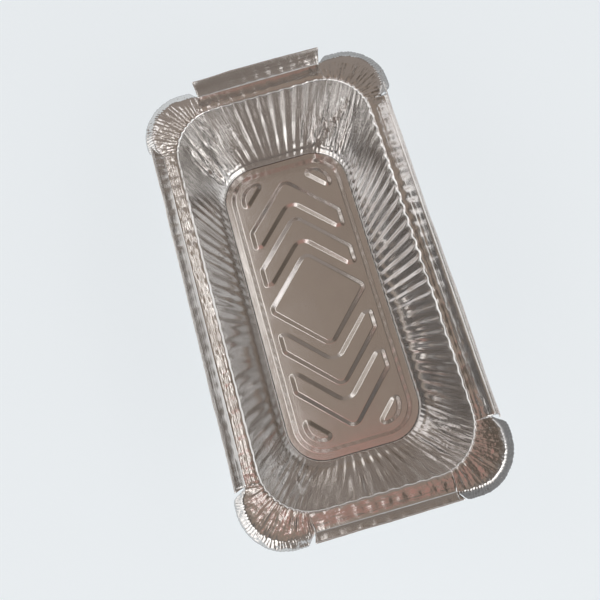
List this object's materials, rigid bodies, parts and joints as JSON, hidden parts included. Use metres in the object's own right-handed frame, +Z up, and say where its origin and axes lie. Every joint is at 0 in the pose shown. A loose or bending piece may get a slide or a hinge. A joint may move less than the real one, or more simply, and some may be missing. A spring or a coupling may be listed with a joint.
{
  "type": "foil tray",
  "caption": "Oblong pressed foil tray with fluted flaring walls, gathered corners, a flat ledge, upright hemmed lips and a raised pattern in its base.",
  "frame": {"origin": "middle of the plane that the tray stands on, under the middle of its base", "axes": "+X along the tray's length, +Y across it, +Z up out of the open mouth"},
  "size_m": [0.2084, 0.1174, 0.057],
  "materials": {
    "foil": "bright rolled foil, soft mirror with fine rolling lines and press wrinkles"
  },
  "bodies": {
    "root": {"foil_tray": "foil"}
  },
  "joints": []
}
